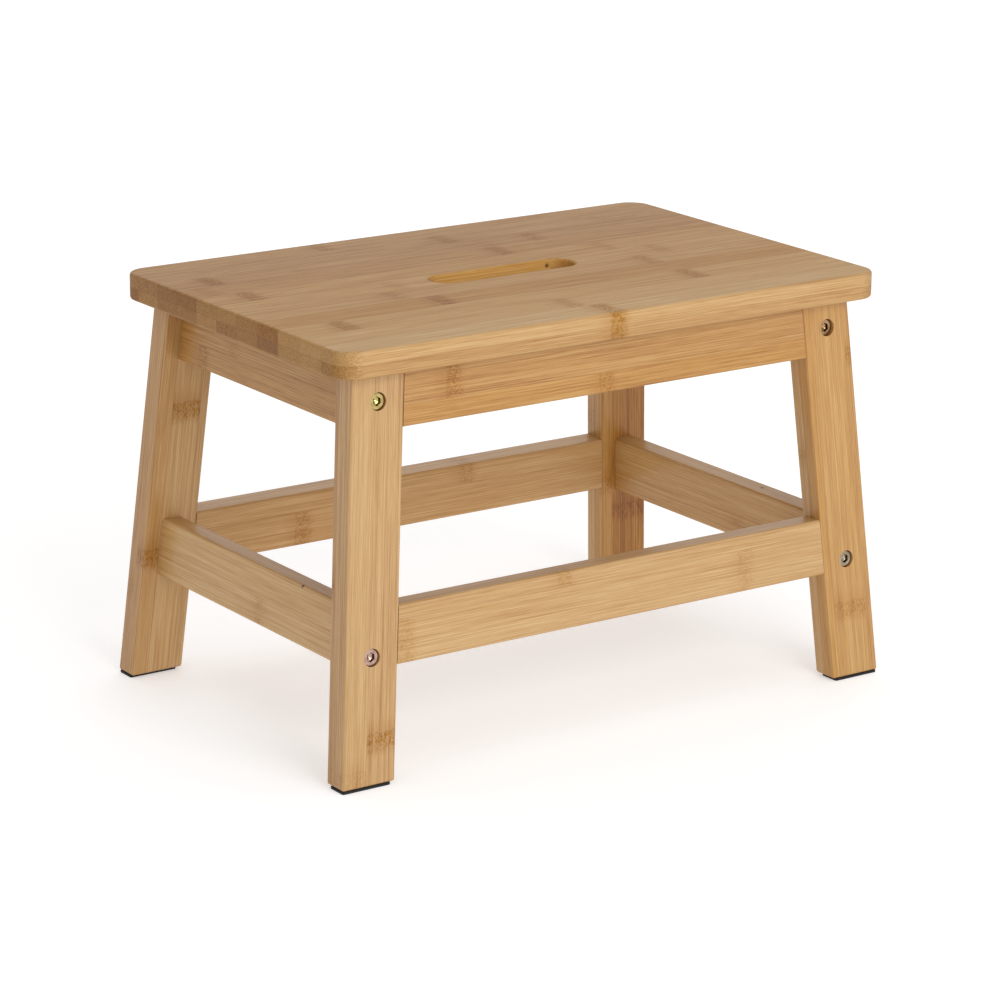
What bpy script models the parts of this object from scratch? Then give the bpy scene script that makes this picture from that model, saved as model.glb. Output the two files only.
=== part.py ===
"""A low four-legged step stool in laminated bamboo, in metres, +Z up.

The origin is on the floor under the middle of the top, with +X along the top and +Y to the back.
Two end-to-end frames, front and back, each hold two legs, an apron and a stretcher, glued with
dowels. Side rails join the frames, held by connecting screws through the legs. Everything under
the top splays outwards on all four sides at one slope.
"""

import math

import bmesh
import bpy
from mathutils import Matrix, Vector

# The top
TOP_LENGTH = 0.400
TOP_DEPTH = 0.258
TOP_THICKNESS = 0.017
TOP_CORNER_RADIUS = 0.015
TOP_EDGE_ROUND = 0.002
SLOT_LENGTH = 0.106
SLOT_WIDTH = 0.023

# Heights above the floor
HEIGHT = 0.265
UNDERSIDE = HEIGHT - TOP_THICKNESS
PAD_THICKNESS = 0.002

# The legs' outer faces stand this far from the middle where they meet the top, along X and Y
LEG_REACH = (0.1845, 0.1145)
LEG_SIZE = (0.0365, 0.018)
SPLAY = 0.020
SLOPE = SPLAY / (UNDERSIDE - PAD_THICKNESS)
LEAN = math.atan(SLOPE)
LEG_EDGE_ROUND = 0.0015

# The rails: z of the outer face's lower and upper edge, thickness, and the step back from the leg
RAIL_EDGE_ROUND = 0.001
LONG_APRON = {"low": 0.2125, "high": UNDERSIDE, "thickness": 0.017, "inset": 0.0005}
LONG_STRETCHER = {"low": 0.0715, "high": 0.1077, "thickness": 0.017, "inset": 0.0005}
SIDE_RAIL_THICKNESS = 0.0145
SIDE_RAIL_INSET = (LEG_SIZE[0] - SIDE_RAIL_THICKNESS) / 2
SIDE_APRON = {
    "low": 0.2115,
    "high": UNDERSIDE,
    "thickness": SIDE_RAIL_THICKNESS,
    "inset": SIDE_RAIL_INSET,
}
SIDE_STRETCHER = {
    "low": 0.0696,
    "high": 0.1075,
    "thickness": SIDE_RAIL_THICKNESS,
    "inset": SIDE_RAIL_INSET,
}

# Foot pads: how far each stands in from the leg's outer and inner faces, along X and Y
PAD_OUTER_MARGIN = (0.0006, 0.0008)
PAD_INNER_MARGIN = (0.0025, 0.0030)

# Connecting screws: 7 x 50 mm, flat head, hexagon socket for a 5 mm key
SCREW_LENGTH = 0.050
SCREW_HEAD_RADIUS = 0.005
SCREW_HEAD_DEPTH = 0.0035
SCREW_HEAD_CHAMFER = 0.0006
SCREW_RADIUS = 0.0035
SCREW_POINT = 0.003
SOCKET_WIDTH = 0.005
SOCKET_DEPTH = 0.003
COUNTERBORE_RADIUS = 0.0055
SCREW_SIDES = 16
SCREW_HEIGHTS = {"upper": 0.230, "lower": 0.0792}
# How deep each head sits below the leg's face, as the screws were driven
SCREW_SINK = {
    "front_left_upper": 0.0014,
    "front_left_lower": 0.0014,
    "front_right_upper": 0.0021,
    "front_right_lower": 0.0015,
    "back_left_upper": 0.0016,
    "back_left_lower": 0.0016,
    "back_right_upper": 0.0016,
    "back_right_lower": 0.0016,
}

# Dowels: 8 x 30 mm
DOWEL_RADIUS = 0.004
DOWEL_LENGTH = 0.030
DOWEL_SIDES = 12
DOWEL_IN_LEG = 0.011
DOWEL_SPREAD = 0.009
SIDE_DOWEL_IN_LEG = 0.010
SIDE_DOWEL_ABOVE_SCREW = 0.018

# Wood screws: 4 x 35 mm, driven up through the aprons
TOP_SCREW_LENGTH = 0.035
TOP_SCREW_HEAD_RADIUS = 0.0038
TOP_SCREW_HEAD_DEPTH = 0.0025
TOP_SCREW_RADIUS = 0.002
TOP_SCREW_POINT = 0.004
TOP_SCREW_BITE = 0.012
TOP_SCREW_SIDES = 12
TOP_SCREW_X = 0.110
TOP_SCREW_POCKET_RADIUS = 0.0042

# Room between pieces that touch, and how far a cutter runs past what it cuts
GAP = 0.0003
PAST = 0.008

CORNERS = {
    "front_left": (-1, -1),
    "front_right": (1, -1),
    "back_left": (-1, 1),
    "back_right": (1, 1),
}
X, Y = 0, 1


def clear_scene():
    for thing in list(bpy.data.objects):
        bpy.data.objects.remove(thing, do_unlink=True)


def new_collection(name):
    collection = bpy.data.collections.new(name)
    bpy.context.scene.collection.children.link(collection)
    return collection


def new_material(name, colour, roughness, metallic=0.0):
    material = bpy.data.materials.new(name)
    material.use_nodes = True
    shader = material.node_tree.nodes["Principled BSDF"]
    shader.inputs["Base Color"].default_value = (*colour, 1.0)
    shader.inputs["Roughness"].default_value = roughness
    shader.inputs["Metallic"].default_value = metallic
    return material


clear_scene()
STOOL = new_collection("step_stool")
CUTTERS = new_collection("cutters")
BAMBOO_TOP = new_material("bamboo_top", (0.51, 0.35, 0.19), 0.45)
BAMBOO_LEG = new_material("bamboo_leg", (0.62, 0.38, 0.17), 0.45)
BAMBOO_RAIL = new_material("bamboo_rail", (0.64, 0.40, 0.18), 0.45)
YELLOW_ZINC = new_material("yellow_zinc", (0.62, 0.50, 0.26), 0.3, 1.0)
BEECH = new_material("beech", (0.60, 0.42, 0.26), 0.6)
BLACK_FOAM = new_material("black_foam", (0.02, 0.02, 0.02), 0.9)


def outer_face(axis, z):
    """How far a leg's outer face stands from the middle at this height."""
    return LEG_REACH[axis] + SLOPE * (UNDERSIDE - z)


def inner_face(axis, z):
    return outer_face(axis, z) - LEG_SIZE[axis]


def add_piece(name, mesh, material):
    piece = bpy.data.objects.new(name, mesh)
    if not mesh.materials:
        mesh.materials.append(material)
    STOOL.objects.link(piece)
    return piece


def add_cutter(name, mesh):
    cutter = bpy.data.objects.new(name, mesh)
    cutter.hide_render = True
    cutter.display_type = "WIRE"
    CUTTERS.objects.link(cutter)
    return cutter


def aim(thing, place, outwards):
    """Stands an object at place, with its own +Z along outwards."""
    turn = Vector(outwards).to_track_quat("Z", "Y").to_matrix().to_4x4()
    thing.matrix_world = Matrix.Translation(place) @ turn
    return thing


def cut(piece, *cutters):
    for cutter in cutters:
        boolean = piece.modifiers.new("cut_" + cutter.name, "BOOLEAN")
        boolean.operation = "DIFFERENCE"
        boolean.object = cutter


def round_edges(piece, width, segments):
    bevel = piece.modifiers.new("eased_edges", "BEVEL")
    bevel.width = width
    bevel.segments = segments
    bevel.limit_method = "ANGLE"
    bevel.angle_limit = math.radians(50)
    return bevel


def shaped_block(name, place):
    """A cube whose corners, each of them (+-1, +-1, +-1), go where place(corner) says."""
    mesh = bpy.data.meshes.new(name)
    block = bmesh.new()
    bmesh.ops.create_cube(block, size=2)
    for vertex in block.verts:
        vertex.co = place(vertex.co.copy())
    block.to_mesh(mesh)
    block.free()
    return mesh


def rounded_plate(name, length, depth, low, high, corner_radius, segments):
    """A flat plate centred on the Z axis, with its four upright edges rounded."""
    mesh = bpy.data.meshes.new(name)
    plate = bmesh.new()
    size = Matrix.Diagonal((length, depth, high - low, 1))
    middle = Matrix.Translation((0, 0, (low + high) / 2))
    bmesh.ops.create_cube(plate, size=1, matrix=middle @ size)
    upright = [
        edge
        for edge in plate.edges
        if abs(edge.verts[0].co.z - edge.verts[1].co.z) > (high - low) / 2
    ]
    bmesh.ops.bevel(
        plate,
        geom=upright,
        offset=corner_radius,
        segments=segments,
        profile=0.5,
        affect="EDGES",
    )
    plate.to_mesh(mesh)
    plate.free()
    return mesh


def rod_mesh(name, radius, low, high, sides):
    mesh = bpy.data.meshes.new(name)
    rod = bmesh.new()
    bmesh.ops.create_cone(
        rod,
        cap_ends=True,
        segments=sides,
        radius1=radius,
        radius2=radius,
        depth=high - low,
        matrix=Matrix.Translation((0, 0, (low + high) / 2)),
    )
    rod.to_mesh(mesh)
    rod.free()
    mesh.shade_smooth()
    mesh.set_sharp_from_angle(angle=math.radians(40))
    return mesh


def turned_mesh(name, profile, sides, recess=None):
    """(radius, z) points from the top down, turned round Z, with an optional recess cut out."""
    outline = bpy.data.meshes.new(name + "_outline")
    points = [(radius, 0, z) for radius, z in profile]
    outline.from_pydata(points, [(i, i + 1) for i in range(len(points) - 1)], [])
    spun = bpy.data.objects.new(name + "_spun", outline)
    CUTTERS.objects.link(spun)
    screw = spun.modifiers.new("turn", "SCREW")
    screw.steps = sides
    screw.render_steps = sides
    screw.use_merge_vertices = True
    screw.merge_threshold = 0.00001
    if recess:
        tool = add_cutter(name + "_recess", recess)
        cut(spun, tool)
    bpy.context.view_layer.update()
    mesh = bpy.data.meshes.new_from_object(
        spun.evaluated_get(bpy.context.evaluated_depsgraph_get())
    )
    mesh.name = name
    mesh.shade_smooth()
    mesh.set_sharp_from_angle(angle=math.radians(40))
    bpy.data.objects.remove(spun)
    if recess:
        bpy.data.objects.remove(tool)
    return mesh


def rail(name, along, side, shape):
    """A rail that runs along X or Y on one side, leaning with the legs' outer faces."""
    across = 1 - along
    level = shape["high"] == UNDERSIDE

    def place(corner):
        end, out, up = corner[along], corner[across] * side, corner.z
        z = shape["high"] if up > 0 else shape["low"]
        if level and up > 0:
            z -= GAP
        reach = outer_face(across, z) - shape["inset"]
        if out < 0 and level and up > 0:
            reach -= shape["thickness"] / math.cos(LEAN)
        elif out < 0:
            reach -= shape["thickness"] * math.cos(LEAN)
            z -= shape["thickness"] * math.sin(LEAN)
        spot = Vector((0, 0, z))
        spot[along] = end * (inner_face(along, z) - GAP)
        spot[across] = side * reach
        return spot

    piece = add_piece(name, shaped_block(name, place), BAMBOO_RAIL)
    round_edges(piece, RAIL_EDGE_ROUND, 1)
    return piece


def rail_middle(shape, across, z):
    """How far the middle of a rail's thickness stands from the middle of the stool."""
    return outer_face(across, z) - shape["inset"] - shape["thickness"] / 2


def leg(name, side_x, side_y):
    def place(corner):
        z = UNDERSIDE - GAP if corner.z > 0 else PAD_THICKNESS
        x = outer_face(X, z) if corner.x * side_x > 0 else inner_face(X, z)
        y = outer_face(Y, z) if corner.y * side_y > 0 else inner_face(Y, z)
        return Vector((side_x * x, side_y * y, z))

    piece = add_piece(name, shaped_block(name, place), BAMBOO_LEG)
    round_edges(piece, LEG_EDGE_ROUND, 2)
    return piece


def foot_pad(name, side_x, side_y):
    outer = [outer_face(axis, PAD_THICKNESS) - PAD_OUTER_MARGIN[axis] for axis in (X, Y)]
    inner = [inner_face(axis, PAD_THICKNESS) + PAD_INNER_MARGIN[axis] for axis in (X, Y)]

    def place(corner):
        x = outer[X] if corner.x * side_x > 0 else inner[X]
        y = outer[Y] if corner.y * side_y > 0 else inner[Y]
        z = PAD_THICKNESS - GAP if corner.z > 0 else 0
        return Vector((side_x * x, side_y * y, z))

    return add_piece(name, shaped_block(name, place), BLACK_FOAM)


def top_board():
    plate = rounded_plate(
        "top_board", TOP_LENGTH, TOP_DEPTH, UNDERSIDE, HEIGHT, TOP_CORNER_RADIUS, 6
    )
    piece = add_piece("top_board", plate, BAMBOO_TOP)
    slot = rounded_plate(
        "hand_slot",
        SLOT_LENGTH,
        SLOT_WIDTH,
        UNDERSIDE - PAST,
        HEIGHT + PAST,
        SLOT_WIDTH / 2 - GAP,
        6,
    )
    cut(piece, add_cutter("hand_slot", slot))
    round_edges(piece, TOP_EDGE_ROUND, 2)
    return piece


def connecting_screw_meshes():
    """The screw, its head's face at z = 0 and its point down -Z, and the hole it needs."""
    neck = SCREW_HEAD_DEPTH + SCREW_HEAD_RADIUS - SCREW_RADIUS
    screw_profile = [
        (0, 0),
        (SCREW_HEAD_RADIUS - SCREW_HEAD_CHAMFER, 0),
        (SCREW_HEAD_RADIUS, -SCREW_HEAD_CHAMFER),
        (SCREW_HEAD_RADIUS, -SCREW_HEAD_DEPTH),
        (SCREW_RADIUS, -neck),
        (SCREW_RADIUS, SCREW_POINT - SCREW_LENGTH),
        (SCREW_RADIUS / 2, -SCREW_LENGTH),
        (0, -SCREW_LENGTH),
    ]
    hole_profile = [
        (0, PAST),
        (COUNTERBORE_RADIUS, PAST),
        (COUNTERBORE_RADIUS, -SCREW_HEAD_DEPTH - GAP),
        (SCREW_RADIUS + GAP, -neck - GAP),
        (SCREW_RADIUS + GAP, -SCREW_LENGTH - GAP),
        (0, -SCREW_LENGTH - GAP),
    ]
    corner_radius = SOCKET_WIDTH / 2 / math.cos(math.radians(30))
    socket = rod_mesh("socket", corner_radius, -SOCKET_DEPTH, PAST, 6)
    screw = turned_mesh("connecting_screw", screw_profile, SCREW_SIDES, socket)
    hole = turned_mesh("connecting_screw_hole", hole_profile, SCREW_SIDES)
    return screw, hole


def top_screw_meshes():
    """The wood screw, its point up +Z and the underside of its head at z = 0, and its hole."""
    screw_profile = [
        (0, TOP_SCREW_LENGTH),
        (TOP_SCREW_RADIUS, TOP_SCREW_LENGTH - TOP_SCREW_POINT),
        (TOP_SCREW_RADIUS, 0),
        (TOP_SCREW_HEAD_RADIUS, 0),
        (TOP_SCREW_HEAD_RADIUS, -TOP_SCREW_HEAD_DEPTH),
        (0, -TOP_SCREW_HEAD_DEPTH),
    ]
    hole_profile = [
        (0, TOP_SCREW_LENGTH + GAP),
        (TOP_SCREW_RADIUS + GAP, TOP_SCREW_LENGTH + GAP),
        (TOP_SCREW_RADIUS + GAP, GAP),
        (TOP_SCREW_POCKET_RADIUS, GAP),
        (TOP_SCREW_POCKET_RADIUS, -TOP_SCREW_LENGTH),
        (0, -TOP_SCREW_LENGTH),
    ]
    screw = turned_mesh("top_screw", screw_profile, TOP_SCREW_SIDES)
    hole = turned_mesh("top_screw_hole", hole_profile, TOP_SCREW_SIDES)
    return screw, hole


def dowel(name, place, outwards, in_leg, leg_piece, rail_piece):
    """A dowel across a joint at place, a point on the leg's inner face, into the leg and rail."""
    into_leg = Vector(outwards).normalized()
    middle = Vector(place) + into_leg * (in_leg - DOWEL_LENGTH / 2)
    aim(add_piece(name, DOWEL_MESH, BEECH), middle, into_leg)
    hole = aim(add_cutter(name + "_hole", DOWEL_HOLE_MESH), middle, into_leg)
    cut(leg_piece, hole)
    cut(rail_piece, hole)


def long_joint(name, side_x, side_y, shape, leg_piece, rail_piece):
    """Two dowels, one above the other, between a long rail's end and a leg."""
    middle_z = (shape["low"] + shape["high"]) / 2 - shape["thickness"] / 2 * math.sin(LEAN)
    for level, z in (("high", middle_z + DOWEL_SPREAD), ("low", middle_z - DOWEL_SPREAD)):
        x = side_x * (inner_face(X, z) - GAP / 2)
        y = side_y * rail_middle(shape, Y, z)
        dowel_name = f"dowel_{name}_{level}"
        dowel(dowel_name, (x, y, z), (side_x, 0, 0), DOWEL_IN_LEG, leg_piece, rail_piece)


def square_to_leg(side_y):
    """The way a leg's front or back face looks."""
    return Vector((0, side_y * math.cos(LEAN), math.sin(LEAN)))


def screw_joint(name, side_x, side_y, z, leg_piece, rail_piece):
    """A connecting screw through a leg, square to its outer face, into a side rail's end."""
    outwards = square_to_leg(side_y)
    face = Vector(
        (side_x * (outer_face(X, z) - LEG_SIZE[X] / 2), side_y * outer_face(Y, z), z)
    )
    head = face - outwards * SCREW_SINK[name]
    aim(add_piece("leg_screw_" + name, SCREW_MESH, YELLOW_ZINC), head, outwards)
    hole = aim(add_cutter("leg_screw_hole_" + name, SCREW_HOLE_MESH), head, outwards)
    cut(leg_piece, hole)
    cut(rail_piece, hole)


def side_dowel(corner, side_x, side_y, leg_piece, rail_piece):
    """The dowel above the lower screw and parallel to it, which stops the stretcher turning."""
    z = SCREW_HEIGHTS["lower"] + SIDE_DOWEL_ABOVE_SCREW
    x = side_x * (outer_face(X, z) - LEG_SIZE[X] / 2)
    y = side_y * (inner_face(Y, z) - GAP / 2)
    name = "dowel_side_stretcher_" + corner
    outwards = square_to_leg(side_y)
    dowel(name, (x, y, z), outwards, SIDE_DOWEL_IN_LEG, leg_piece, rail_piece)


def top_screw(name, x, y, apron_piece):
    """A wood screw up through an apron into the top."""
    place = (x, y, UNDERSIDE + TOP_SCREW_BITE - TOP_SCREW_LENGTH)
    aim(add_piece("top_screw_" + name, TOP_SCREW_MESH, YELLOW_ZINC), place, (0, 0, 1))
    hole = aim(add_cutter("top_screw_hole_" + name, TOP_SCREW_HOLE_MESH), place, (0, 0, 1))
    cut(apron_piece, hole)
    cut(board, hole)


SCREW_MESH, SCREW_HOLE_MESH = connecting_screw_meshes()
TOP_SCREW_MESH, TOP_SCREW_HOLE_MESH = top_screw_meshes()
DOWEL_MESH = rod_mesh(
    "dowel", DOWEL_RADIUS, -DOWEL_LENGTH / 2, DOWEL_LENGTH / 2, DOWEL_SIDES
)
DOWEL_HOLE_MESH = rod_mesh(
    "dowel_hole",
    DOWEL_RADIUS + GAP,
    -DOWEL_LENGTH / 2 - GAP,
    DOWEL_LENGTH / 2 + GAP,
    DOWEL_SIDES,
)

board = top_board()
rails = {}
for end_name, end_side in (("front", -1), ("back", 1)):
    rails["apron_" + end_name] = rail("apron_" + end_name, X, end_side, LONG_APRON)
    rails["stretcher_" + end_name] = rail("stretcher_" + end_name, X, end_side, LONG_STRETCHER)
for end_name, end_side in (("left", -1), ("right", 1)):
    rails["apron_" + end_name] = rail("apron_" + end_name, Y, end_side, SIDE_APRON)
    rails["stretcher_" + end_name] = rail("stretcher_" + end_name, Y, end_side, SIDE_STRETCHER)

for corner_name, (x_side, y_side) in CORNERS.items():
    end_name, side_name = corner_name.split("_")
    corner_leg = leg("leg_" + corner_name, x_side, y_side)
    foot_pad("foot_pad_" + corner_name, x_side, y_side)
    for rail_kind, rail_shape in (("apron", LONG_APRON), ("stretcher", LONG_STRETCHER)):
        long_joint(
            f"{rail_kind}_{corner_name}",
            x_side,
            y_side,
            rail_shape,
            corner_leg,
            rails[f"{rail_kind}_{end_name}"],
        )
    for screw_level, rail_kind in (("upper", "apron"), ("lower", "stretcher")):
        screw_joint(
            f"{corner_name}_{screw_level}",
            x_side,
            y_side,
            SCREW_HEIGHTS[screw_level],
            corner_leg,
            rails[f"{rail_kind}_{side_name}"],
        )
    side_dowel(corner_name, x_side, y_side, corner_leg, rails["stretcher_" + side_name])

apron_middle_z = (LONG_APRON["low"] + LONG_APRON["high"]) / 2
long_apron_y = rail_middle(LONG_APRON, Y, apron_middle_z)
side_apron_x = rail_middle(SIDE_APRON, X, apron_middle_z)
for end_name, y_side in (("front", -1), ("back", 1)):
    for side_name, x_side in (("left", -1), ("right", 1)):
        screw_name = f"{end_name}_{side_name}"
        screw_x = x_side * TOP_SCREW_X
        top_screw(screw_name, screw_x, y_side * long_apron_y, rails["apron_" + end_name])
for side_name, x_side in (("left", -1), ("right", 1)):
    top_screw("side_" + side_name, x_side * side_apron_x, 0, rails["apron_" + side_name])
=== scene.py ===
"""The looks of a low step stool in laminated bamboo: clear satin lacquer, zinc-plated screws."""

import bisect
import math
import random
from functools import partial

import bpy
from mathutils import Matrix, Vector


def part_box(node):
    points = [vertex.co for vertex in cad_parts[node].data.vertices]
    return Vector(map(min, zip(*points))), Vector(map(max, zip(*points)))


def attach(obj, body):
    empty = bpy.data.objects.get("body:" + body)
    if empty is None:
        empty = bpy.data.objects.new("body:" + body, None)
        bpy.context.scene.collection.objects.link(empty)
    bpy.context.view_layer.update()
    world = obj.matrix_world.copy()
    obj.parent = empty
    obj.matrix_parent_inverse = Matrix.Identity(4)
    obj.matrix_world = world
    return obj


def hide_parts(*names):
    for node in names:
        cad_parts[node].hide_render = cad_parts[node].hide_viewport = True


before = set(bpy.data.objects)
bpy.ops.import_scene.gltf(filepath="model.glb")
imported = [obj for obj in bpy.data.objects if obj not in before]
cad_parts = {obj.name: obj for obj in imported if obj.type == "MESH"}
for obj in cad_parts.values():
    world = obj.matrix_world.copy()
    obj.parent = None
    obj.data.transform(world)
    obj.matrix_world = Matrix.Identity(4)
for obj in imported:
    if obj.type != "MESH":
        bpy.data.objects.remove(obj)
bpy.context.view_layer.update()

MM = 0.001
GAP = 0.3 * MM
HAIRLINE = 0.05 * MM
X, Y = 0, 1
UP = Vector((0, 0, 1))
# How far a cutter runs past what it cuts, and how far an apron is first made above the top's
# underside, before it is cut off there
PAST = 8 * MM
SPARE = 4 * MM

# The top, and the legs' splay, read from the frame
TOP_LOW, TOP_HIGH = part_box("top_board")
TOP_SIZE = TOP_HIGH - TOP_LOW
UNDERSIDE = TOP_LOW.z
TOP_CORNER_RADIUS = 15 * MM
TOP_EDGE_ROUND = 2 * MM
SLOT_LENGTH = 106 * MM
SLOT_WIDTH = 23 * MM
LEG_SIZE = (36.5 * MM, 18 * MM)
LEG_EDGE_ROUND = 1.5 * MM
LEG_LOW, LEG_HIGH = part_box("leg_back_right")
FOOT_Z = LEG_LOW.z
LEG_REACH = (LEG_LOW.x + LEG_SIZE[X], LEG_LOW.y + LEG_SIZE[Y])
SLOPE = (LEG_HIGH.x - LEG_REACH[X]) / (UNDERSIDE - FOOT_Z)
LEAN = math.atan(SLOPE)

# Rails: how round their edges are, their thickness, and how far each stands behind the legs'
# outer faces
RAIL_EDGE_ROUND = 1 * MM
STRETCHER_EDGE_ROUND = 2 * MM
LONG_RAIL = {"thickness": 17 * MM, "inset": 0.5 * MM}
SIDE_RAIL = {"thickness": 14.5 * MM, "inset": 11 * MM}

# Foot pads: how round the corners and the rims are
PAD_CORNER_RADIUS = 1.2 * MM
PAD_RIM_ROUND = 0.25 * MM

# Connecting screws: the head with its raised face, the neck under it, the shank and its point
SCREW_LENGTH = 50 * MM
SCREW_HEAD_RADIUS = 5.3 * MM
SCREW_HEAD_DEPTH = 3.5 * MM
SCREW_RIM = 0.9 * MM
SCREW_CROWN = 0.12 * MM
SCREW_EDGE_ROUND = 0.25 * MM
SCREW_NECK = 1.5 * MM
SCREW_RADIUS = 3.5 * MM
SCREW_POINT = 3 * MM
COUNTERBORE_RADIUS = 5.5 * MM
# Their hexagon sockets, each ending in a shallow cone
SOCKET_WIDTH = 5 * MM
SOCKET_DEPTH = 2.4 * MM
SOCKET_CONE = 0.9 * MM

CORNERS = {
    "front_left": (-1, -1),
    "front_right": (1, -1),
    "back_left": (-1, 1),
    "back_right": (1, 1),
}

# Bamboo: how far apart the culm's nodes are, in mm, and how many fit on the longest stick
NODE_SPACING = 255
MOST_NODES = 3
# A node and a knot too far off to show, in mm, and the same for a glue line, in metres
NO_NODE = (9000, 0)
NO_KNOT = (9000, 0, 0)
FAR = 9
# How dark a sawn end is, from 0 to 1
PLAIN_END = 0.75
# How dark the fibres are, and the thin arcs at a node
FIBRE_STRENGTH = 1.1
NODE_ARCS = 0.9
# The top's strips, in mm
STRIP_WIDTH = 23.6

# The camera: where it stands, which way it looks and its lens
CAMERA_PLACE = (-1.3108, -1.8819, 0.7857)
CAMERA_HEADING = math.radians(34.85)
CAMERA_DIP = math.radians(16.29)
CAMERA_ROLL = math.radians(0.52)
CAMERA_LENS = 135.2
CAMERA_SENSOR = 36


# ---------------------------------------------------------------- modelling tools


def deselect_all():
    """Leaves no piece selected, so that the next step works on one piece only."""
    bpy.ops.object.select_all(action="DESELECT")


def take(piece):
    """Makes this the one piece selected and worked on."""
    deselect_all()
    piece.select_set(True)
    bpy.context.view_layer.objects.active = piece


def settle(piece):
    """Moves the piece's place, turn and size into its mesh."""
    take(piece)
    bpy.ops.object.transform_apply(location=True, rotation=True, scale=True)
    return piece


def add_block(name, middle, size, rotation=(0, 0, 0)):
    """A block of this size, to be cut and rounded."""
    deselect_all()
    bpy.ops.mesh.primitive_cube_add(size=1, location=middle, rotation=rotation, scale=size)
    piece = bpy.context.object
    piece.name = name
    return settle(piece)


def add_rod(name, radius, low, high, sides):
    """A rod that stands on the Z axis from low to high."""
    deselect_all()
    bpy.ops.mesh.primitive_cylinder_add(
        vertices=sides,
        radius=radius,
        depth=high - low,
        location=(0, 0, (low + high) / 2),
    )
    piece = bpy.context.object
    piece.name = name
    return settle(piece)


def stand(piece, place, outwards):
    """Turns a piece made on the Z axis to point outwards from place."""
    turn = Vector(outwards).to_track_quat("Z", "Y").to_matrix().to_4x4()
    piece.matrix_world = Matrix.Translation(place) @ turn
    return settle(piece)


def select_parts(piece, kind, test):
    """Enters edit mode with only the faces or edges selected that pass the test."""
    take(piece)
    bpy.context.tool_settings.mesh_select_mode = (False, kind == "EDGE", kind == "FACE")
    mesh = piece.data
    for group in (mesh.vertices, mesh.edges, mesh.polygons):
        group.foreach_set("select", [False] * len(group))
    for part in mesh.edges if kind == "EDGE" else mesh.polygons:
        part.select = bool(test(part))
    bpy.ops.object.mode_set(mode="EDIT")


def leave_edit():
    """Ends what select_parts began."""
    bpy.ops.object.mode_set(mode="OBJECT")


def bevel_edges(piece, width, segments, test):
    """Rounds the edges that pass the test."""
    select_parts(piece, "EDGE", test)
    bpy.ops.mesh.bevel(offset=width, segments=segments, affect="EDGES", profile=0.5)
    leave_edit()


def runs_along(piece, edge, direction):
    """Whether one of the piece's edges points along this direction, either way."""
    ends = [piece.data.vertices[i].co for i in edge.vertices]
    return abs((ends[1] - ends[0]).normalized().dot(direction)) > 0.99


def slice_piece(piece, point, normal, keep_all=False):
    """Cuts along a plane, and takes off what lies in front of it unless all is kept."""
    select_parts(piece, "FACE", lambda face: True)
    bpy.ops.mesh.bisect(
        plane_co=point,
        plane_no=normal,
        use_fill=not keep_all,
        clear_outer=not keep_all,
        threshold=1e-6,
    )
    leave_edit()


def add_modifier(piece, kind, **settings):
    """Adds a modifier with these settings, and applies it."""
    modifier = piece.modifiers.new(kind.title(), kind)
    for name, value in settings.items():
        setattr(modifier, name, value)
    take(piece)
    bpy.ops.object.modifier_apply(modifier=modifier.name)


def round_sharp_edges(piece, width, segments, sharpest):
    """Rounds every edge that turns by more than this many degrees."""
    add_modifier(
        piece,
        "BEVEL",
        width=width,
        segments=segments,
        limit_method="ANGLE",
        angle_limit=math.radians(sharpest),
    )


def cut_away(piece, tool):
    """Cuts the tool's shape out of the piece, and takes the tool away."""
    add_modifier(piece, "BOOLEAN", operation="DIFFERENCE", solver="EXACT", object=tool)
    bpy.data.objects.remove(tool)


def smooth(piece, angle=40):
    """Shades smooth across every edge that turns by less than this many degrees."""
    take(piece)
    bpy.ops.object.shade_smooth_by_angle(angle=math.radians(angle))
    add_modifier(piece, "WEIGHTED_NORMAL", keep_sharp=True, weight=100)


def dress(piece, material):
    """Gives a piece one material, in place of any it has."""
    piece.data.materials.clear()
    piece.data.materials.append(material)


def finish_piece(piece, material, slot, *nodes):
    """Gives a piece its material and its body, and hides the CAD nodes it stands for; slot is not
    used.
    """
    dress(piece, material)
    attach(piece, "root")
    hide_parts(*nodes)


# ---------------------------------------------------------------- the bamboo's lay


def stick_frame(origin, along, across, through):
    """From a stick's own place (along, across and through it) to its place in the stool."""
    columns = [Vector(v).to_4d() for v in (along, across, through)]
    for column in columns:
        column.w = 0
    columns.append(Vector(origin).to_4d())
    return Matrix(columns).transposed()


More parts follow.
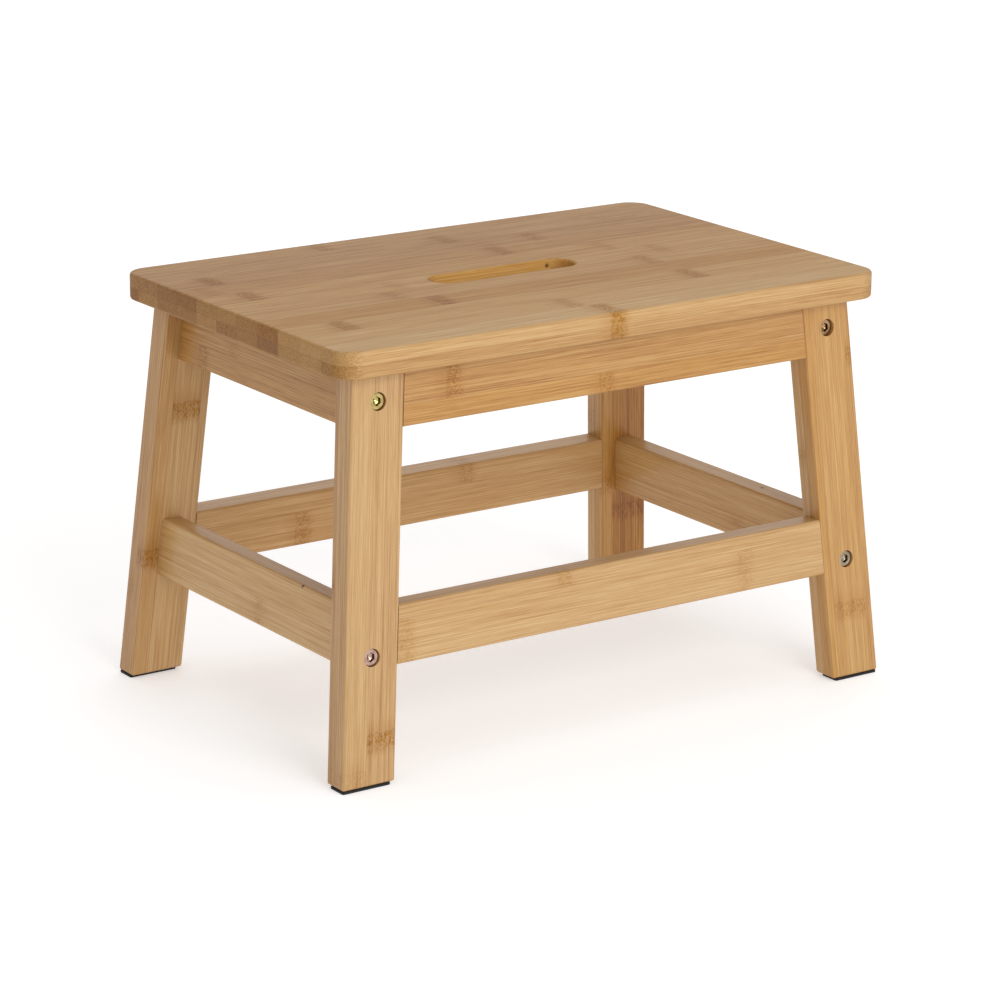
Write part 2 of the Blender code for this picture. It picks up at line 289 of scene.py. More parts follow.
def lay_bamboo(piece, stick, lay):
    """Splits a stick at its glue lines and writes each lamella's facts on its faces.

    grain is a point's place in the straight stick. lamella_low and lamella_high are the glue
    lines around it. lamella holds a number of its own, its tone (dark is above 0) and its
    warmth. nodes holds where along it the culm's nodes lie, and node_depth how plain each is.
    knot is the middle of a small dark knot. end_grain is how dark a sawn end is, else 0.
    """
    inverse = stick.inverted()
    seams = [[place * MM for place in lay.get(way, ())] for way in ("across", "through")]
    sides = [[-FAR, *places, FAR] for places in seams]
    for row, places in enumerate(seams, start=1):
        normal = inverse.row[row].to_3d()
        for place in places:
            point = stick @ Vector([place if i == row else 0 for i in range(3)])
            slice_piece(piece, point, normal, keep_all=True)
    mesh = piece.data
    mesh.attributes.new("grain", "FLOAT_VECTOR", "POINT")
    names = ("lamella_low", "lamella_high", "lamella", "nodes", "node_depth", "knot")
    for name in names:
        mesh.attributes.new(name, "FLOAT_VECTOR", "FACE")
    mesh.attributes.new("end_grain", "FLOAT", "FACE")
    for i, vertex in enumerate(mesh.vertices):
        mesh.attributes["grain"].data[i].vector = inverse @ vertex.co
    end_grain = mesh.attributes["end_grain"].data
    along, sideways = [stick.col[k].to_3d().normalized() for k in (0, 1)]
    for i, face in enumerate(mesh.polygons):
        middle = inverse @ face.center
        cell = tuple(bisect.bisect(places, middle[row]) for row, places in enumerate(seams, 1))
        facts = lamella_facts(piece.name, cell, lay)
        number, tone, warmth = facts["lamella"]
        # The slot's walls get a paler, deep amber look: painted bounce light
        if is_hollow_wall(middle, face.normal, lay):
            tone, warmth = lay["painted_bounce_look"]
        else:
            # Painted shade: the narrow sides are made darker
            tone += lay.get("darker_sides", 0) * abs(face.normal.dot(sideways))
        facts["lamella"] = (number, tone, warmth)
        facts["lamella_low"] = (-FAR, *(side[k] for side, k in zip(sides, cell)))
        facts["lamella_high"] = (FAR, *(side[k + 1] for side, k in zip(sides, cell)))
        for name in names:
            mesh.attributes[name].data[i].vector = facts[name]
        end_grain[i].value = facts["end"] * abs(face.normal.dot(along))


def is_hollow_wall(middle, normal, lay):
    """Whether this face lies inside the hollow, a box given by its two corners in mm."""
    if "hollow" not in lay or abs(normal.z) > 0.9:
        return False
    return all(low * MM < x < high * MM for x, low, high in zip(middle, *lay["hollow"]))


def lamella_facts(name, cell, lay):
    """One lamella's number, tone, warmth, nodes and sawn end, chosen or else drawn by lot."""
    lot = random.Random(f"{name}{cell}")
    number = lot.uniform(1, 50)
    look = (lot.uniform(-0.3, 0.3), lot.uniform(-0.2, 0.2))
    first = lot.uniform(-60, 190)
    nodes = [(first + NODE_SPACING * k, lot.uniform(0.4, 0.9)) for k in range(MOST_NODES)]
    look = lay.get("looks", {}).get(cell, look)
    nodes = lay.get("nodes", {}).get(cell, nodes)
    nodes = [*nodes, *[NO_NODE] * MOST_NODES][:MOST_NODES]
    return {
        "lamella": (number, *look),
        "nodes": [place * MM for place, depth in nodes],
        "node_depth": [depth for place, depth in nodes],
        "knot": [place * MM for place in lay.get("knot", NO_KNOT)],
        "end": lay.get("ends", {}).get(cell, PLAIN_END),
    }


# ---------------------------------------------------------------- materials


def linear(colour):
    """sRGB hex to linear RGBA."""
    channels = [int(colour[i : i + 2], 16) / 255 for i in (1, 3, 5)]
    return [c / 12.92 if c <= 0.04045 else ((c + 0.055) / 1.055) ** 2.4 for c in channels] + [1]


def add_node(tree, kind, *inputs, at=None, stops=(), **named):
    """Adds a node: lower-case names are its settings, and capitalised ones its inputs.

    Inputs can also be given in order, or at an index. A node given as an input means its first
    output. Stops are a colour ramp's places and colours, in rising order.
    """
    node = tree.nodes.new("ShaderNode" + kind)
    for name in filter(str.islower, named):
        setattr(node, name, named[name])
    for k, (place, colour) in enumerate(stops):
        elements = node.color_ramp.elements
        element = elements[k] if k < len(elements) else elements.new(place)
        element.position = place
        element.color = linear(colour)
    sockets = [*enumerate(inputs), *(at or {}).items()]
    sockets += [(k.replace("_", " "), v) for k, v in named.items() if not k.islower()]
    for socket, value in sockets:
        if isinstance(value, bpy.types.Node):
            value = value.outputs[0]
        if isinstance(value, bpy.types.NodeSocket):
            tree.links.new(value, node.inputs[socket])
        elif value is not None:
            node.inputs[socket].default_value = value
    return node


def new_material(name):
    """An empty material, and the function that adds a node to it."""
    material = bpy.data.materials.new(name)
    material.use_nodes = True
    material.node_tree.nodes.clear()
    return material, partial(add_node, material.node_tree)


# Bamboo, from pale to dark: steamed blond, and the more orange amber
BLOND_TONES = ((0, "#C4A47A"), (0.35, "#B48F60"), (0.6, "#A37A4E"), (0.8, "#8C623A"), (1, "#704928"))
AMBER_TONES = ((0, "#C29A56"), (0.35, "#B2813B"), (0.6, "#A16D2B"), (0.8, "#89551D"), (1, "#6C3E13"))

# Bamboo patterns: how many waves a metre along, across and through the stick, then the detail
# and the twist. Fibres come 0.6 mm apart and 70 mm long, coarser than the real 0.3 mm so that
# they show, and at a node they crumple into arcs about 2 mm apart.
BAMBOO_PATTERNS = {
    "ragged": ((60, 330, 330), 2, 0),
    "long_fibre": ((14, 1700, 1700), 2, 0),
    "fine_fibre": ((70, 2400, 2400), 2, 0),
    "broad": ((7, 300, 300), 2, 0),
    "crumple": ((260, 430, 430), 1.5, 0.8),
    "pores": ((70, 1400, 1400), 2, 0),
}

# Around a node, in mm past its line: where each zone comes in, and where it goes out
NODE_ZONES = {
    "before": ((-13, 0), (-1, 1)),
    "scar": ((-1.1, -0.2), (0.2, 1.1)),
    "core": ((-1.2, 1.2), (6, 15)),
}


def make_bamboo(name, band_strength, node_flat, sheen):
    """Laminated bamboo, planed, sanded and sprayed with clear satin lacquer.

    Straight fibres show as fine lengthwise lines, each lamella has its own tone, and every
    culm node is a short golden-brown patch of crumpled fibres across one lamella.
    """
    material, add = new_material(name)
    facts = ("grain", "lamella", "lamella_low", "lamella_high", "nodes", "node_depth", "knot")
    fact = {kind: add("Attribute", attribute_name=kind).outputs["Vector"] for kind in facts}
    number, tone, warmth = add("SeparateXYZ", fact["lamella"]).outputs

    # Each lamella takes its patterns from its own place in the culm
    shift = add("VectorMath", (0.37, 0.113, 0.071), Scale=number, operation="SCALE")
    place = add("VectorMath", fact["grain"], shift, operation="ADD")
    pattern = {}
    for kind, (waves, detail, twist) in BAMBOO_PATTERNS.items():
        waved = add("VectorMath", place, waves, operation="MULTIPLY")
        pattern[kind] = add("TexNoise", Vector=waved, Scale=1, Detail=detail, Distortion=twist)

    # How far past each of its nodes a point lies. A node's line is uneven by about 1.5 mm
    uneven = add("MapRange", Value=pattern["ragged"], To_Min=-3 * MM, To_Max=3 * MM)
    along = add("Math", add("SeparateXYZ", fact["grain"]), uneven, operation="ADD")
    along = add("CombineXYZ", along, along, along)
    past = add("VectorMath", along, fact["nodes"], operation="SUBTRACT").outputs[0]
    # How deep in each zone it lies. The inputs that take three values go by their index
    zone = {}
    for kind, (comes_in, goes_out) in NODE_ZONES.items():
        amount = fact["node_depth"]
        for ends, levels in ((comes_in, (0, 1)), (goes_out, (1, 0))):
            limits = [(end * MM,) * 3 for end in ends] + [(level,) * 3 for level in levels]
            step = add(
                "MapRange",
                at={6: past, **dict(enumerate(limits, start=7))},
                data_type="FLOAT_VECTOR",
                interpolation_type="SMOOTHSTEP",
            )
            amount = add("VectorMath", amount, step.outputs[1], operation="MULTIPLY")
        first, second, third = add("SeparateXYZ", amount).outputs
        zone[kind] = add("Math", first, second, operation="MAXIMUM")
        zone[kind] = add("Math", zone[kind], third, operation="MAXIMUM")

    # How dark: the lamella's tone, broad bands about 3 mm wide, then the fibres
    shade = add("Math", tone, 0.4, 0.4, operation="MULTIPLY_ADD")
    strengths = {
        "broad": band_strength,
        "long_fibre": FIBRE_STRENGTH,
        "fine_fibre": 0.5 * FIBRE_STRENGTH,
    }
    for kind, strength in strengths.items():
        centred = add("Math", pattern[kind], 0.5, operation="SUBTRACT")
        shade = add("Math", centred, strength, shade, operation="MULTIPLY_ADD")
    blond = add("ValToRGB", shade, stops=BLOND_TONES)
    amber = add("ValToRGB", shade, stops=AMBER_TONES)
    warm = add("MapRange", Value=warmth, From_Min=-0.5, From_Max=1)
    colour = add("Mix", at={0: warm, 6: blond, 7: amber}, data_type="RGBA").outputs[2]

    # The node: a fade up to its scar, then the crumpled fibres, drawn as thin dark arcs
    fade = add("Math", zone["before"], 0.3, operation="MULTIPLY")
    arcs = add("Math", pattern["crumple"], 0.5, operation="SUBTRACT")
    arcs = add("Math", arcs, operation="ABSOLUTE")
    arcs = add("MapRange", Value=arcs, From_Max=0.07, To_Min=1, To_Max=0)
    inked = add("Math", arcs, NODE_ARCS, node_flat, operation="MULTIPLY_ADD")
    brown = add("Math", zone["core"], inked, operation="MULTIPLY")
    scar = add("Math", zone["scar"], 0.5, operation="MULTIPLY")
    brown = add("Math", brown, scar, operation="MAXIMUM")

    # A knot: one dark hollow 2.5 mm across
    off = add("VectorMath", fact["grain"], fact["knot"], operation="DISTANCE").outputs["Value"]
    knot = add("MapRange", Value=off, From_Min=0.7 * MM, From_Max=1.8 * MM, To_Min=0.85, To_Max=0)

    # Glue lines: a little darker, and drawn 0.5 mm wide, wider than real so that they show
    above = add("VectorMath", fact["grain"], fact["lamella_low"], operation="SUBTRACT")
    below = add("VectorMath", fact["lamella_high"], fact["grain"], operation="SUBTRACT")
    nearest = add("VectorMath", above, below, operation="MINIMUM")
    sideways, inwards = add("SeparateXYZ", nearest).outputs[1:]
    nearest = add("Math", sideways, inwards, operation="MINIMUM")
    seam = add(
        "MapRange", Value=nearest, From_Min=0.1 * MM, From_Max=0.45 * MM, To_Min=0.22, To_Max=0
    )

    # Sawn ends drink more lacquer and turn darker, with the fibres as fine dots
    dots = pattern["pores"]
    dots = add("MapRange", Value=dots, From_Min=0.35, From_Max=0.65, To_Min=0.6, To_Max=1.1)
    end = add("Attribute", attribute_name="end_grain").outputs["Fac"]
    end = add("Math", end, dots, operation="MULTIPLY")

    for amount, tint, blend in (
        (fade, "#D8B450", "MULTIPLY"),
        (brown, "#D2B22C", "MULTIPLY"),
        (knot, "#3E2412", "MIX"),
        (seam, "#7A4E24", "MIX"),
        (end, "#C3AE72", "MULTIPLY"),
    ):
        ends = {0: amount, 6: colour, 7: linear(tint)}
        colour = add("Mix", at=ends, data_type="RGBA", blend_type=blend).outputs[2]

    # Satin lacquer: a soft shine, broken by the fibres that it doesn't quite fill
    rough = pattern["long_fibre"]
    rough = add("MapRange", Value=rough, From_Min=0.3, From_Max=0.7, To_Min=0.45, To_Max=0.58)
    height = add("Math", pattern["long_fibre"], pattern["fine_fibre"], operation="ADD")
    bump = add("Bump", Strength=0.35, Distance=0.05 * MM, Height=height)
    shader = add(
        "BsdfPrincipled",
        Base_Color=colour,
        Roughness=rough,
        IOR=1.5,
        Specular_IOR_Level=0.24,
        Coat_Weight=sheen,
        Coat_Roughness=0.25,
        Normal=bump,
    )
    add("OutputMaterial", Surface=shader)
    return material


def make_zinc(name, bright, dull):
    """Steel, cold-headed, zinc-plated and passivated: a thin uneven sheen, brassy to pinkish."""
    material, add = new_material(name)
    place = add("TexCoord").outputs["Object"]
    # Clouds 4 mm across, where the plating is thicker or thinner
    cloud = add("TexNoise", Vector=place, Scale=260, Detail=3)
    plating = add("ValToRGB", cloud, stops=((0.35, bright), (0.65, dull)))
    # Painted shade darkens the socket's walls to near black, as in the recess's shadow
    dirt = add("Attribute", attribute_name="dirt").outputs["Fac"]
    socket_shaded = {0: dirt, 6: plating, 7: linear("#1C140C")}
    socket_shaded = add("Mix", at=socket_shaded, data_type="RGBA").outputs[2]
    rough = add("MapRange", Value=cloud, To_Min=0.1, To_Max=0.32)
    shader = add("BsdfPrincipled", Base_Color=socket_shaded, Roughness=rough, Metallic=1)
    add("OutputMaterial", Surface=shader)
    return material


def make_foam():
    """Closed-cell rubber foam, die-cut: matt black with fine pores."""
    material, add = new_material("black_foam_rubber_die_cut")
    place = add("TexCoord").outputs["Object"]
    # Pores 0.4 mm apart
    pores = add("TexNoise", Vector=place, Scale=2500, Detail=2)
    black = add("ValToRGB", pores, stops=((0.3, "#0E0D0C"), (0.7, "#26221F")))
    bump = add("Bump", Strength=0.5, Distance=0.1 * MM, Height=pores)
    shader = add("BsdfPrincipled", Base_Color=black, Roughness=0.9, Normal=bump)
    add("OutputMaterial", Surface=shader)
    return material


def make_beech():
    """Beech dowel, turned and left bare: pale pinkish wood with short dark flecks."""
    material, add = new_material("beech_turned_bare")
    place = add("TexCoord").outputs["Object"]
    # Flecks 1 mm long
    flecks = add("TexNoise", Vector=place, Scale=900, Detail=2)
    wood = add("ValToRGB", flecks, stops=((0.35, "#D9B48C"), (0.7, "#B98A62")))
    shader = add("BsdfPrincipled", Base_Color=wood, Roughness=0.65)
    add("OutputMaterial", Surface=shader)
    return material


def make_floor_sheet():
    """Matt white acrylic sheet, cast, lit faintly from below: a plain pale ground."""
    material, add = new_material("white_acrylic_sheet_matt_cast")
    shader = add(
        "BsdfPrincipled",
        Base_Color=linear("#E2E2E2"),
        Roughness=0.9,
        Specular_IOR_Level=0,
        Emission_Color=linear("#FFFFFF"),
        Emission_Strength=0.38,
    )
    add("OutputMaterial", Surface=shader)
    return material


BOARD_BAMBOO = make_bamboo(
    "laminated_bamboo_flat_strips_satin_lacquer", band_strength=0.25, node_flat=0.5, sheen=0
)
STICK_BAMBOO = make_bamboo(
    "laminated_bamboo_edge_strips_satin_lacquer", band_strength=0.4, node_flat=0.3, sheen=0.45
)
BRASSY = make_zinc("yellow_zinc_plated_steel", "#C2AE74", "#A08A50")
PINKISH = make_zinc("pink_zinc_plated_steel", "#C4A496", "#A08274")
GREYISH = make_zinc("dull_zinc_plated_steel", "#B0A288", "#8E7E68")
BROWNISH = make_zinc("brown_zinc_plated_steel", "#C0A078", "#8E6A48")
FOAM = make_foam()
BEECH = make_beech()


# ---------------------------------------------------------------- pieces


def outer_face(axis, z):
    """How far out the legs' outer faces stand along X or Y at this height."""
    return LEG_REACH[axis] + SLOPE * (UNDERSIDE - z)


def inner_face(axis, z):
    """The same for their inner faces."""
    return outer_face(axis, z) - LEG_SIZE[axis]


def square_to_leg(side_y):
    """The direction straight out of a leg's front or back face."""
    return Vector((0, side_y * math.cos(LEAN), math.sin(LEAN)))


def end_middle(node, outwards):
    """The middle of a CAD node's face at its far end in this direction."""
    points = [v.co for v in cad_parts[node].data.vertices]
    reach = max(p.dot(outwards) for p in points)
    face = [p for p in points if p.dot(outwards) > reach - 0.1 * MM]
    return Vector([(min(p[i] for p in face) + max(p[i] for p in face)) / 2 for i in range(3)])


def make_top(lay):
    """The board: round corners, a hand slot with half-round ends, and softened edges."""
    middle = (TOP_LOW + TOP_HIGH) / 2
    piece = add_block("seat_board", middle, TOP_SIZE)
    bevel_edges(piece, TOP_CORNER_RADIUS, 16, lambda edge: runs_along(piece, edge, UP))
    slot = add_block("slot_tool", middle, (SLOT_LENGTH, SLOT_WIDTH, TOP_SIZE.z * 3))
    # A hair under half the width, so that the two corners at an end don't quite meet
    end_radius = SLOT_WIDTH / 2 - 0.1 * MM
    bevel_edges(slot, end_radius, 16, lambda edge: runs_along(slot, edge, UP))
    cut_away(piece, slot)
    round_sharp_edges(piece, TOP_EDGE_ROUND, 5, 50)
    stick = stick_frame((TOP_LOW.x, TOP_LOW.y, TOP_HIGH.z), (1, 0, 0), (0, 1, 0), (0, 0, -1))
    lay_bamboo(piece, stick, lay)
    smooth(piece)
    finish_piece(piece, BOARD_BAMBOO, "top_bamboo", "top_board")


def make_leg(corner, side_x, side_y, lay):
    """A leg: a straight block whose foot is pushed outwards both ways, bored for its screws."""
    height = UNDERSIDE - HAIRLINE - FOOT_Z
    top_middle = [
        side * (reach - size / 2 + SLOPE * HAIRLINE)
        for side, reach, size in zip((side_x, side_y), LEG_REACH, LEG_SIZE)
    ]
    piece = add_block(
        "post_" + corner, (*top_middle, FOOT_Z + height / 2), (*LEG_SIZE, height)
    )
    select_parts(piece, "FACE", lambda face: face.normal.z < -0.9)
    splay = SLOPE * height
    bpy.ops.transform.translate(value=(side_x * splay, side_y * splay, 0))
    leave_edit()
    bevel_edges(piece, LEG_EDGE_ROUND, 4, lambda edge: True)
    outwards = square_to_leg(side_y)
    for level in ("upper", "lower"):
        head = end_middle(f"leg_screw_{corner}_{level}", outwards)
        bottom = -SCREW_HEAD_DEPTH - GAP
        tool = add_rod("counterbore_tool", COUNTERBORE_RADIUS, bottom, PAST, 64)
        cut_away(piece, stand(tool, head, outwards))
    # Through is measured from the face that looks to the front
    origin_y = LEG_REACH[Y] if side_y < 0 else LEG_REACH[Y] - LEG_SIZE[Y]
    stick = stick_frame(
        (side_x * LEG_REACH[X], side_y * origin_y, UNDERSIDE),
        (side_x * SLOPE, side_y * SLOPE, -1),
        (-side_x, 0, 0),
        (0, 1, 0),
    )
    lay_bamboo(piece, stick, lay)
    smooth(piece)
    finish_piece(piece, STICK_BAMBOO, "leg_bamboo", "leg_" + corner)


def make_rail(name, kind, end, run, side, shape, lay):
    """A rail that runs along X or Y, between the legs on one side, and leans with them."""
    cross = 1 - run
    low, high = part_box(f"{kind}_{end}")
    is_apron = kind == "apron"
    thickness, inset = shape["thickness"], shape["inset"]
    bottom_z = low.z + thickness * math.sin(LEAN)
    top_z = UNDERSIDE + SPARE if is_apron else high.z
    # Out of the rail's outer face, and up that face
    outward, up = Vector((0, 0, math.sin(LEAN))), Vector((0, 0, math.cos(LEAN)))
    outward[cross] = side * math.cos(LEAN)
    up[cross] = -side * math.sin(LEAN)
    corner = Vector((0, 0, bottom_z))
    corner[cross] = side * outer_face(cross, bottom_z)
    corner -= outward * inset
    height = (top_z - bottom_z) / math.cos(LEAN)
    middle = corner + up * height / 2 - outward * thickness / 2
    size = [0, 0, height]
    size[run] = 2 * outer_face(run, FOOT_Z)
    size[cross] = thickness
    turn = [0, 0, 0]
    turn[run] = side * LEAN if run == X else -side * LEAN
    piece = add_block(name, middle, size, turn)
    # Made too long, then cut to the legs' slope at both ends
    middle_z = (low.z + high.z) / 2
    for way in (-1, 1):
        point = Vector((0, 0, middle_z))
        point[run] = way * (inner_face(run, middle_z) - HAIRLINE)
        normal = Vector((0, 0, SLOPE))
        normal[run] = way
        slice_piece(piece, point, normal)
    if is_apron:
        slice_piece(piece, (0, 0, UNDERSIDE - HAIRLINE), UP)
    runs = Vector((0, 0, 0))
    runs[run] = 1
    edge_round = RAIL_EDGE_ROUND if is_apron else STRETCHER_EDGE_ROUND
    bevel_edges(piece, edge_round, 4, lambda edge: runs_along(piece, edge, runs))
    # The lay starts at the left or back end, at the top edge of the face that looks to the
    # front or left; across goes down that face, and through goes in from it
    seen = side < 0
    edge_z = UNDERSIDE if is_apron else top_z
    start = corner + up * (edge_z - bottom_z) / math.cos(LEAN)
    start -= outward * (0 if seen else thickness)
    start[run] = inner_face(run, edge_z) * (-1 if run == X else 1)
    stick = stick_frame(
        start, runs if run == X else -runs, -up, -outward if seen else outward
    )
    lay_bamboo(piece, stick, lay)
    smooth(piece)
    finish_piece(piece, STICK_BAMBOO, "rail_bamboo", f"{kind}_{end}")


def make_pad(corner):
    """A thin pad under a leg: round corners and softened rims."""
    low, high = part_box("foot_pad_" + corner)
    piece = add_block("foot_" + corner, (low + high) / 2, high - low)
    bevel_edges(piece, PAD_CORNER_RADIUS, 5, lambda edge: runs_along(piece, edge, UP))
    bevel_edges(piece, PAD_RIM_ROUND, 2, lambda edge: not runs_along(piece, edge, UP))
    smooth(piece)
    finish_piece(piece, FOAM, "pad_foam", "foot_pad_" + corner)


def mark_socket(piece):
    """Writes painted shade on the socket's walls, most on the left ones, and none on its floor."""
    dirt = piece.data.attributes.new("dirt", "FLOAT", "FACE").data
    for i, face in enumerate(piece.data.polygons):
        inside = Vector(face.center[:2]).length < 0.6 * SOCKET_WIDTH
        if inside and face.center.z < -0.2 * MM and face.normal.z < 0.3:
            # Painted shade: a wall is darker or lighter by which way it faces
            dirt[i].value = 0.75 + 0.2 * face.normal.x


def make_screw(corner, level, side_y, material):
    """A cold-headed connecting screw: flat head, hexagon socket, tapered neck, plain shank."""
    node = f"leg_screw_{corner}_{level}"
    outwards = square_to_leg(side_y)
    head = end_middle(node, outwards)
    shank = SCREW_LENGTH - SCREW_HEAD_DEPTH - SCREW_NECK - SCREW_POINT
    piece = add_rod(f"bolt_{corner}_{level}", SCREW_HEAD_RADIUS, -SCREW_HEAD_DEPTH, 0, 64)
    select_parts(piece, "FACE", lambda face: face.normal.z < -0.9)
    bpy.ops.mesh.inset(thickness=SCREW_HEAD_RADIUS - SCREW_RADIUS)
    bpy.ops.transform.translate(value=(0, 0, -SCREW_NECK))
    bpy.ops.mesh.extrude_region_move(TRANSFORM_OT_translate={"value": (0, 0, -shank)})
    bpy.ops.mesh.extrude_region_move(TRANSFORM_OT_translate={"value": (0, 0, -SCREW_POINT)})
    bpy.ops.transform.resize(value=(0.5, 0.5, 1))
    leave_edit()
    select_parts(piece, "FACE", lambda face: face.normal.z > 0.9)
    bpy.ops.mesh.inset(thickness=SCREW_RIM)
    bpy.ops.transform.translate(value=(0, 0, SCREW_CROWN))
    leave_edit()
    corner_radius = SOCKET_WIDTH / 2 / math.cos(math.radians(30))
    tool = add_rod("socket_tool", corner_radius, -SOCKET_DEPTH, PAST, 6)
    select_parts(tool, "FACE", lambda face: face.normal.z < -0.9)
    bpy.ops.mesh.extrude_region_move(TRANSFORM_OT_translate={"value": (0, 0, -SOCKET_CONE)})
    bpy.ops.transform.resize(value=(0.1, 0.1, 1))
    leave_edit()
    cut_away(piece, tool)
    round_sharp_edges(piece, SCREW_EDGE_ROUND, 3, 35)
    smooth(piece, 35)
    mark_socket(piece)
    stand(piece, head, outwards)
    finish_piece(piece, material, "yellow_zinc_screw", node)


# How each piece is glued up. Across and through say where its glue lines lie, in mm. The rest
# goes by cell (strip, layer): a look is a tone and a warmth, a node is a place along the stick in
# mm and how plain it is, and ends are how dark the sawn ends are. Darker narrow sides are painted
# shade: how much darker those faces are painted. A knot is a place in mm. What isn't given is drawn
# by lot.
TOP_LAY = {
    "across": [STRIP_WIDTH * k for k in range(1, 11)],
    "through": [8.5],
    "looks": {
        (0, 0): (-0.3, -0.25),
        (1, 0): (-0.13, 0),
        (2, 0): (0, 0.1),
        (3, 0): (0.3, 0.5),
        (4, 0): (0.15, 0),
        (5, 0): (0.1, 0),
        (6, 0): (0.2, 0),
        (7, 0): (0.45, 0),
        # From (8, 0) on, the back strips are blonder: partly their own tone, partly a painted sheen
        # across the board's back
        (8, 0): (0.45, -0.2),
        (9, 0): (0.45, -0.4),
        (10, 0): (0.35, -0.4),
        (0, 1): (0.08, -0.3),
        (1, 1): (-0.1, 0),
        (2, 1): (-0.1, 0),
        (3, 1): (0.8, 0.1),
        (4, 1): (0.35, 0.1),
        (5, 1): (0.6, 0.2),
        (6, 1): (-0.05, 0),
        (7, 1): (0.45, 0.1),
        (8, 1): (0.5, 0),
        (9, 1): (-0.1, 0),
        (10, 1): (0.7, 0.4),
    },
    "nodes": {
        (0, 0): [(190, 0.9)],
        (1, 0): [(178, 0.6)],
        (2, 0): [(33, 1), (290, 1)],
        (3, 0): [(118, 0.9)],
        (4, 0): [(100, 0.5), (290, 0.6)],
        (5, 0): [(115, 0.3), (316, 0.4)],
        (6, 0): [(26, 0.9), (290, 0.4)],
        (7, 0): [(10, 0.4), (226, 0.8)],
        (8, 0): [(25, 1), (268, 0.6)],
        (9, 0): [(214, 0.7)],
        (10, 0): [(134, 0.6)],
        (0, 1): [(190, 0.9)],
    },
    "ends": {
        (0, 1): 1,
        (1, 0): 0.5,
        (1, 1): 0.65,
        (2, 0): 0.55,
        (3, 0): 1,
        (3, 1): 0.65,
        (4, 0): 0.9,
        (5, 1): 0.65,
        (7, 0): 1,
        (8, 0): 0.95,
        (9, 1): 0.85,
    },
    "knot": (242, 140.5, 4.2),
    # The slot's walls are painted paler and deep amber: painted bounce light inside the slot.
    # The hollow is a box around the slot, given by its two corners along and across
    "hollow": ((150, 122), (259, 147)),
    "painted_bounce_look": (-0.3, 0.8),
}
LEG_LAYS = {
    "front_left": {
        "across": [16],
        "through": [13.8],
        "darker_sides": 0.33,
        "looks": {(0, 0): (-0.28, -0.25), (1, 0): (-0.1, -0.3), (0, 1): (-0.03, 0)},
        "nodes": {(1, 0): [(215, 1)], (0, 0): [(236, 0.4)], (0, 1): [(124, 0.9)]},
    },
    "front_right": {
        "across": [5.5, 31],
        "through": [9],
        "looks": {(0, 0): (0.1, 0.3), (1, 0): (-0.15, 0.4), (2, 0): (0, 0.6)},
        "nodes": {(0, 0): [(33, 0.8)], (1, 0): [(197, 0.75)], (2, 0): []},
    },
    "back_left": {
        "across": [10.5, 30.5],
        "through": [9],
        "darker_sides": 0.33,
        "looks": {
            (0, 0): (-0.08, 0.1),
            (1, 0): (-0.33, -0.1),
            (2, 0): (-0.35, -0.2),
            (0, 1): (0.02, 0),
        },
        "nodes": {(1, 0): [(67, 1.3)], (0, 0): [(162, 1.2)], (2, 0): [], (0, 1): [(184, 0.5)]},
    },
    "back_right": {
        "across": [28.5],
        "through": [9],
        "looks": {(0, 0): (0.6, 1.3), (1, 0): (0, 0.7)},
        "nodes": {(0, 0): [(191, 1.2)], (1, 0): [(170, 0.7)]},
    },
}
RAIL_LAYS = {
    "apron_front": {
        "across": [23],
        "looks": {(0, 0): (0.1, 0.3), (1, 0): (0.1, 0.6)},
        "nodes": {(0, 0): [(29, 0.8)], (1, 0): [(140, 0.8)]},
    },
    "stretcher_front": {
        "across": [9.5],
        "looks": {(0, 0): (-0.3, -0.2), (1, 0): (-0.35, -0.15)},
        "nodes": {(0, 0): [(115, 0.5)], (1, 0): [(-1, 0.5), (253, 0.4)]},
    },
    "apron_back": {"across": [14]},
    "stretcher_back": {
        "across": [13],
        "looks": {(0, 0): (-0.3, 0), (1, 0): (-0.15, 0)},
        "nodes": {(0, 0): [(203, 0.6)], (1, 0): [(75, 0.8)]},
    },
    "apron_left": {
        "across": [22],
        "looks": {(0, 0): (0.17, 0.6), (1, 0): (0.27, 0.55)},
        "nodes": {(0, 0): [(58, 0.4)], (1, 0): [(22, 0.9)]},
    },
    "stretcher_left": {
        "across": [20],
        "looks": {(0, 0): (-0.3, 0.15), (1, 0): (-0.25, 0.05)},
        "knot": (167, 0.5, 0.5),
        "nodes": {(0, 0): [], (1, 0): [(117, 0.5)]},
    },
    "apron_right": {"across": [15]},
    "stretcher_right": {
        "across": [21],
        "looks": {(0, 0): (-0.35, 0.3), (1, 0): (-0.15, 0.35)},
        "knot": (151, 0, 8),
        "nodes": {(0, 0): [], (1, 0): [(129, 0.4)]},
    },
}
SCREW_PLATING = {
    ("front_left", "upper"): BRASSY,
    ("front_left", "lower"): PINKISH,
    ("front_right", "lower"): GREYISH,
    ("front_right", "upper"): BROWNISH,
}

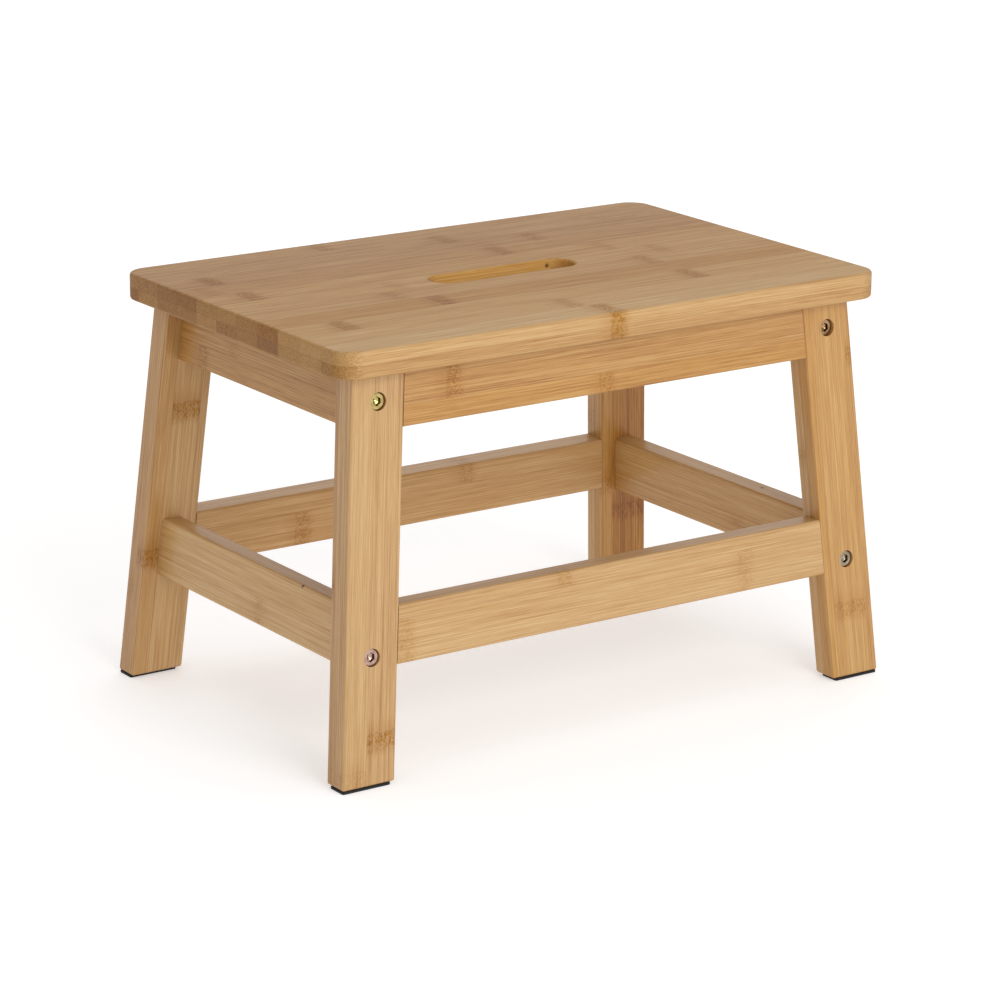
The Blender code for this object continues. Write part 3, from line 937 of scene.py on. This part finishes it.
make_top(TOP_LAY)
for corner_name, sides in CORNERS.items():
    make_leg(corner_name, *sides, LEG_LAYS[corner_name])
    make_pad(corner_name)
    for level_name in ("upper", "lower"):
        plating = SCREW_PLATING.get((corner_name, level_name), BRASSY)
        make_screw(corner_name, level_name, sides[1], plating)
for rail_kind, rail_name in (("apron", "rail_top_"), ("stretcher", "rail_low_")):
    for end_name, way, end_side, rail_shape in (
        ("front", X, -1, LONG_RAIL),
        ("back", X, 1, LONG_RAIL),
        ("left", Y, -1, SIDE_RAIL),
        ("right", Y, 1, SIDE_RAIL),
    ):
        rail_lay = RAIL_LAYS[f"{rail_kind}_{end_name}"]
        make_rail(rail_name + end_name, rail_kind, end_name, way, end_side, rail_shape, rail_lay)

# The dowels and the wood screws keep the shape they have in the frame
for node_name, node_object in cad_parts.items():
    if node_name.startswith("dowel_"):
        dress(node_object, BEECH)
    if node_name.startswith("top_screw_"):
        dress(node_object, BRASSY)


# ---------------------------------------------------------------- studio


def add_area_light(name, place, aim, size, power):
    data = bpy.data.lights.new(name, "AREA")
    data.shape = "RECTANGLE"
    data.size, data.size_y = size
    data.energy = power
    light = bpy.data.objects.new(name, data)
    light.location = place
    light.rotation_euler = (Vector(aim) - Vector(place)).to_track_quat("-Z", "Y").to_euler()
    bpy.context.scene.collection.objects.link(light)


def make_studio():
    """A white floor, a soft light from the front, one that evens the floor, and a pale sky."""
    deselect_all()
    bpy.ops.mesh.primitive_plane_add(size=30, location=(0, 0, 0))
    floor = bpy.context.object
    floor.name = "studio_floor"
    floor.data.materials.append(make_floor_sheet())
    add_area_light("key", (-0.1, -2.0, 0.95), (0, 0, 0.15), (1.3, 1.1), 21)
    add_area_light("ground", (1.6, 2.8, 2.3), (1.6, 2.8, 0), (4, 4), 30)
    world = bpy.data.worlds.new("studio_light")
    bpy.context.scene.world = world
    world.use_nodes = True
    sky = world.node_tree.nodes["Background"].inputs
    sky["Color"].default_value = (1, 1, 1, 1)
    sky["Strength"].default_value = 0.72


def make_camera():
    data = bpy.data.cameras.new("camera")
    data.lens = CAMERA_LENS
    data.sensor_width = CAMERA_SENSOR
    camera = bpy.data.objects.new("camera", data)
    camera.location = CAMERA_PLACE
    heading = Matrix.Rotation(-CAMERA_HEADING, 4, "Z")
    dip = Matrix.Rotation(math.pi / 2 - CAMERA_DIP, 4, "X")
    roll = Matrix.Rotation(CAMERA_ROLL, 4, "Z")
    camera.matrix_world = Matrix.Translation(CAMERA_PLACE) @ heading @ dip @ roll
    bpy.context.scene.collection.objects.link(camera)
    bpy.context.scene.camera = camera


make_studio()
make_camera()
bpy.context.scene.view_settings.view_transform = "Standard"
